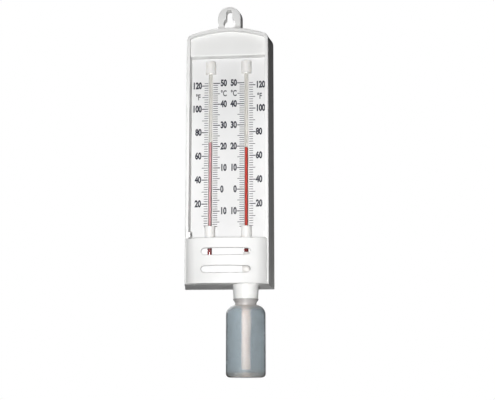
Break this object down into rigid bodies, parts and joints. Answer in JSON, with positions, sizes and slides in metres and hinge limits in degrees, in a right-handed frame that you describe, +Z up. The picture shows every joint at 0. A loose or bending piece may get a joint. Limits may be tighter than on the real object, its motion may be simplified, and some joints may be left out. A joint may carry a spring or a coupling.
{
  "type": "wet and dry bulb hygrometer",
  "caption": "Wall-hung wet and dry bulb hygrometer: spirit tubes side by side on a scale in a moulded case, slotted bulb cover, and a wick running into a screw-on water bottle.",
  "frame": {"origin": "centre of the keyhole's screw-head hole, on the wall plane", "axes": "+X to the viewer's right, +Y into the wall, +Z up; the scale faces -Y"},
  "size_m": [0.073, 0.0328, 0.3078],
  "materials": {
    "case_white": "satin moulded",
    "plate_white": "matt, printed in black and grey",
    "cover_white": "satin moulded",
    "socket_white": "satin moulded",
    "holder_white": "slightly translucent",
    "bottle_translucent": "translucent, frosted",
    "water": "clear liquid",
    "cotton": "braided cotton, wet",
    "tube_glass": "clear",
    "enamel": "gloss",
    "red_spirit": "dyed liquid"
  },
  "bodies": {
    "case": {"case_shell": "case_white", "hanging_lug": "case_white", "scale_plate": "plate_white", "bottle_socket": "socket_white", "wick": "cotton", "wick_sock": "cotton", "dry_stem": "tube_glass", "dry_backing_strip": "enamel", "dry_spirit": "red_spirit", "dry_top_holder": "holder_white", "dry_lower_holder": "holder_white", "wet_stem": "tube_glass", "wet_backing_strip": "enamel", "wet_spirit": "red_spirit", "wet_top_holder": "holder_white", "wet_lower_holder": "holder_white"},
    "cover": {"bulb_cover": "cover_white"},
    "water": {"water": "water"},
    "bottle": {"bottle": "bottle_translucent"}
  },
  "joints": [
    {"name": "cover_pull", "type": "slide", "parent": "case", "child": "cover", "axis": [0, -1, 0], "range_m": [0, 0.025]},
    {"name": "bottle_drop", "type": "slide", "parent": "case", "child": "water", "axis": [0, 0, -1], "range_m": [0, 0.0045]},
    {"name": "bottle_turn", "type": "hinge", "parent": "water", "child": "bottle", "pos_m": [0.0149, -0.0172, -0.2255], "axis": [0, 0, -1], "range_deg": [0, 540]}
  ],
  "couplings": [
    {"joint": "bottle_turn", "follows": "bottle_drop", "rad_per_m": 2094.4}
  ]
}
